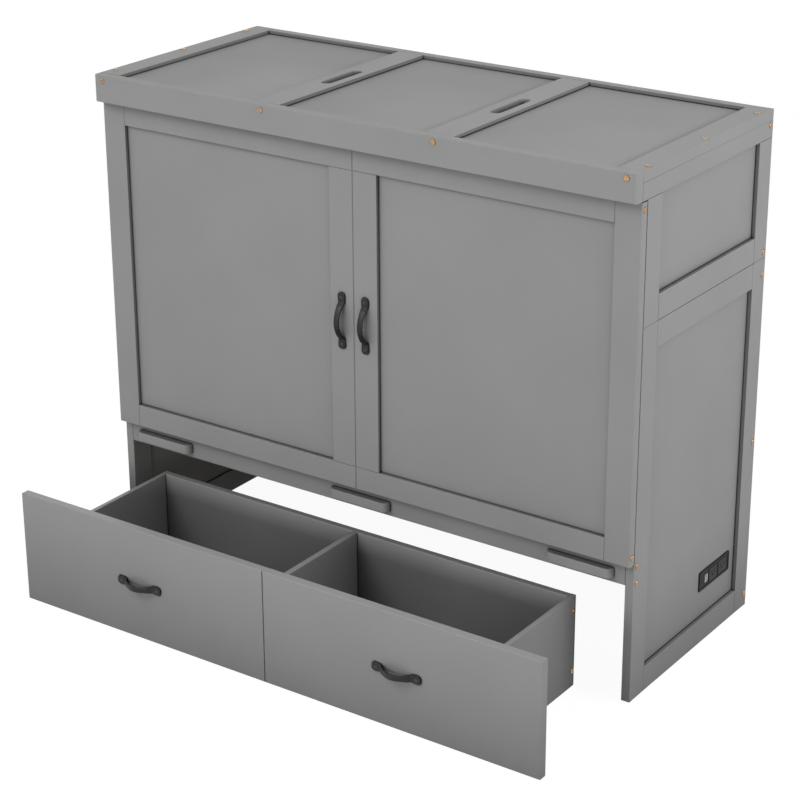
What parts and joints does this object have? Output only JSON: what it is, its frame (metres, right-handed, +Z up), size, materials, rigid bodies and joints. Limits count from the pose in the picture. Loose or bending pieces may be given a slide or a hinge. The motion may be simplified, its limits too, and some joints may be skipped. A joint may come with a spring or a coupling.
{
  "type": "cabinet bed",
  "caption": "Grey cabinet bed, closed: fold-down front, lift-off hood over a slatted deck, and a wide two-part storage drawer on casters, shown rolled out.",
  "frame": {"origin": "on the floor under the middle of the whole part's bounding box, with the drawer out as stored", "axes": "+X to the right seen from the front, +Y to the back, +Z up"},
  "size_m": [1.4832, 0.987, 1.2576],
  "materials": {
    "grey_paint": "satin grey paint on wood board",
    "plain_wood": "planed softwood",
    "dark_bronze": "dark bronze, satin",
    "copper_plate": "copper-coloured plating",
    "zinc_steel": "zinc-plated steel",
    "black_plastic": "black moulded plastic",
    "grey_plastic": "light grey moulded plastic",
    "wheel_rubber": "black solid rubber"
  },
  "bodies": {
    "cabinet": {"side_front_stiles": "grey_paint", "side_rear_stiles": "grey_paint", "side_rails": "grey_paint", "side_panel_left": "grey_paint", "side_panel_right": "grey_paint", "back_rails": "grey_paint", "back_stiles": "grey_paint", "back_panels": "grey_paint", "front_rail": "grey_paint", "rail_ledges": "grey_paint", "deck_bearers": "plain_wood", "deck_slats": "plain_wood", "locating_pegs": "plain_wood", "cabinet_screws": "copper_plate", "hinge_fixed_leaves": "zinc_steel", "hinge_pins": "zinc_steel", "panel_catches": "black_plastic", "glides": "black_plastic", "power_housing": "black_plastic", "power_bezel": "black_plastic", "power_sockets": "black_plastic", "usb_module": "grey_plastic", "cord_gland": "black_plastic"},
    "hood": {"fascia": "grey_paint", "top_side_stiles": "grey_paint", "top_mid_rails": "grey_paint", "top_rear_rail": "grey_paint", "top_panels": "grey_paint", "hood_side_stiles": "grey_paint", "hood_side_rails": "grey_paint", "hood_side_panels": "grey_paint", "aprons": "grey_paint", "rear_apron": "grey_paint", "hood_back_frame": "grey_paint", "hood_back_panels": "grey_paint", "hood_screws": "copper_plate"},
    "front_panel": {"front_outer_stiles": "grey_paint", "front_centre_stile": "grey_paint", "front_rails": "grey_paint", "front_panels": "grey_paint", "front_screws": "copper_plate", "front_pulls": "dark_bronze", "front_pull_screws": "dark_bronze", "front_hinge_leaves": "zinc_steel", "catch_plates": "zinc_steel"},
    "drawer": {"drawer_front": "grey_paint", "drawer_sides": "grey_paint", "drawer_back": "grey_paint", "drawer_divider": "grey_paint", "drawer_bottom": "grey_paint", "drawer_screws": "copper_plate", "drawer_pulls": "dark_bronze", "drawer_pull_screws": "dark_bronze", "caster_brackets": "zinc_steel", "caster_axles": "zinc_steel"},
    "front_left_wheel": {"wheel_front_left": "wheel_rubber"},
    "front_right_wheel": {"wheel_front_right": "wheel_rubber"},
    "rear_left_wheel": {"wheel_rear_left": "wheel_rubber"},
    "rear_right_wheel": {"wheel_rear_right": "wheel_rubber"}
  },
  "joints": [
    {"name": "hood_lift", "type": "slide", "parent": "cabinet", "child": "hood", "axis": [0, 0, 1], "range_m": [0, 0.45]},
    {"name": "front_fold", "type": "hinge", "parent": "cabinet", "child": "front_panel", "pos_m": [0, -0.0873, 0.35], "axis": [1, 0, 0], "range_deg": [0, 90]},
    {"name": "drawer_roll", "type": "slide", "parent": "cabinet", "child": "drawer", "axis": [0, -1, 0], "range_m": [-0.3602, 0.3]},
    {"name": "front_left_wheel_spin", "type": "hinge", "parent": "drawer", "child": "front_left_wheel", "pos_m": [-0.547, -0.409, 0.02], "axis": [1, 0, 0], "continuous": true},
    {"name": "front_right_wheel_spin", "type": "hinge", "parent": "drawer", "child": "front_right_wheel", "pos_m": [0.547, -0.409, 0.02], "axis": [1, 0, 0], "continuous": true},
    {"name": "rear_left_wheel_spin", "type": "hinge", "parent": "drawer", "child": "rear_left_wheel", "pos_m": [-0.547, -0.153, 0.02], "axis": [1, 0, 0], "continuous": true},
    {"name": "rear_right_wheel_spin", "type": "hinge", "parent": "drawer", "child": "rear_right_wheel", "pos_m": [0.547, -0.153, 0.02], "axis": [1, 0, 0], "continuous": true}
  ]
}
